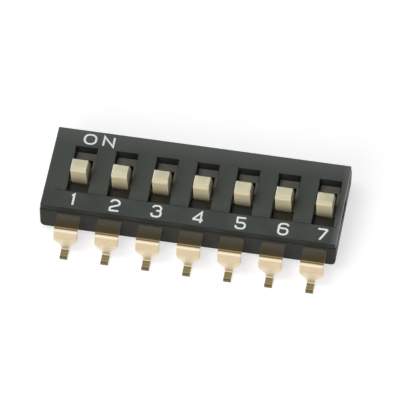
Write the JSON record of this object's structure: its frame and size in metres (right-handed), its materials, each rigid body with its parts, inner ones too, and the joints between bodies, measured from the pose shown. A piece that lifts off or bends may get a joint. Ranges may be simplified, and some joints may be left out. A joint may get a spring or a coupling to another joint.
{
  "type": "dip switch",
  "caption": "Surface-mount DIP switch: a black two-piece plastic housing with gull-wing terminals in two rows and raised ivory slide actuators, each in its own slot.",
  "frame": {"origin": "on the board plane, which is the underside of the terminal feet, midway between the outer ends of the two rows of feet and midway along the housing", "axes": "+X runs along the row from position 1 to position 7, +Y runs from the OFF side to the ON side, and +Z points away from the board"},
  "size_m": [0.0184, 0.0096, 0.0037],
  "materials": {
    "cover": "satin",
    "base": "satin",
    "slider": "satin",
    "contact": "gold plated",
    "terminal": "gold plated"
  },
  "bodies": {
    "housing": {"cover": "cover", "base": "base", "terminal_front_1": "terminal", "terminal_front_2": "terminal", "terminal_front_3": "terminal", "terminal_front_4": "terminal", "terminal_front_5": "terminal", "terminal_front_6": "terminal", "terminal_front_7": "terminal", "terminal_rear_1": "terminal", "terminal_rear_2": "terminal", "terminal_rear_3": "terminal", "terminal_rear_4": "terminal", "terminal_rear_5": "terminal", "terminal_rear_6": "terminal", "terminal_rear_7": "terminal"},
    "actuator_1": {"slider_1": "slider", "moving_contact_1": "contact"},
    "actuator_2": {"slider_2": "slider", "moving_contact_2": "contact"},
    "actuator_3": {"slider_3": "slider", "moving_contact_3": "contact"},
    "actuator_4": {"slider_4": "slider", "moving_contact_4": "contact"},
    "actuator_5": {"slider_5": "slider", "moving_contact_5": "contact"},
    "actuator_6": {"slider_6": "slider", "moving_contact_6": "contact"},
    "actuator_7": {"slider_7": "slider", "moving_contact_7": "contact"}
  },
  "joints": [
    {"name": "slide_1", "type": "slide", "parent": "housing", "child": "actuator_1", "axis": [0, 1, 0], "range_m": [0, 0.001]},
    {"name": "slide_2", "type": "slide", "parent": "housing", "child": "actuator_2", "axis": [0, 1, 0], "range_m": [0, 0.001]},
    {"name": "slide_3", "type": "slide", "parent": "housing", "child": "actuator_3", "axis": [0, 1, 0], "range_m": [0, 0.001]},
    {"name": "slide_4", "type": "slide", "parent": "housing", "child": "actuator_4", "axis": [0, 1, 0], "range_m": [0, 0.001]},
    {"name": "slide_5", "type": "slide", "parent": "housing", "child": "actuator_5", "axis": [0, 1, 0], "range_m": [0, 0.001]},
    {"name": "slide_6", "type": "slide", "parent": "housing", "child": "actuator_6", "axis": [0, 1, 0], "range_m": [0, 0.001]},
    {"name": "slide_7", "type": "slide", "parent": "housing", "child": "actuator_7", "axis": [0, 1, 0], "range_m": [0, 0.001]}
  ]
}
